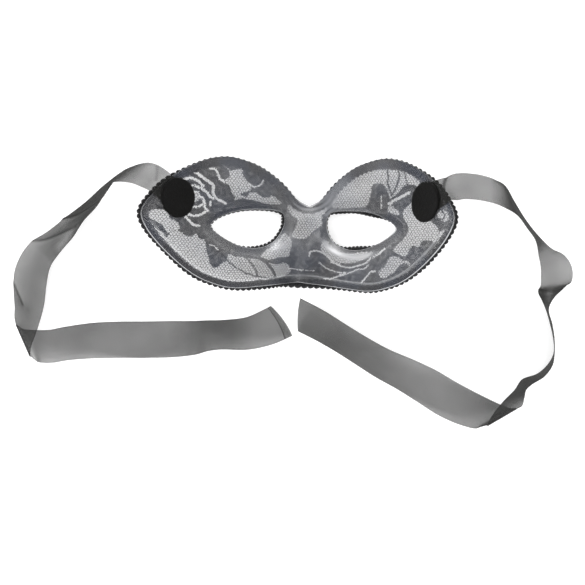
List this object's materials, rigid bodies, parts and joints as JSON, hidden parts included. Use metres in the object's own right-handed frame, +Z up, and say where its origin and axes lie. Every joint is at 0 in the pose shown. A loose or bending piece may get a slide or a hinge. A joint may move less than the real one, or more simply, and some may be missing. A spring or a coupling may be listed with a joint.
{
  "type": "lace eye mask",
  "caption": "Half mask for the upper face: thin clear moulded plastic faced with black lace, scalloped braid round the rim and eye openings, sheer ribbons to tie behind the head.",
  "frame": {"origin": "middle of the whole object's footprint, ribbons included, on the surface that it lies on", "axes": "+Z up, out of the mask's hollow side; +X from one tie ribbon to the other; +Y from the nose towards the brow"},
  "size_m": [0.3256, 0.1521, 0.0533],
  "materials": {
    "plastic": "glossy vacuum-formed sheet, clear and slightly milky",
    "lace": "black machine-made floral lace on a fine net",
    "braid": "black scalloped gimp braid of twisted cord",
    "felt": "matte black pressed felt",
    "ribbon": "sheer black organza with woven selvedges"
  },
  "bodies": {
    "root": {"shell": "plastic", "lace": "lace", "braid_outer": "braid", "braid_eye_left": "braid", "braid_eye_right": "braid", "felt_disc_left": "felt", "felt_disc_right": "felt", "ribbon_left": "ribbon", "ribbon_right": "ribbon"}
  },
  "joints": []
}
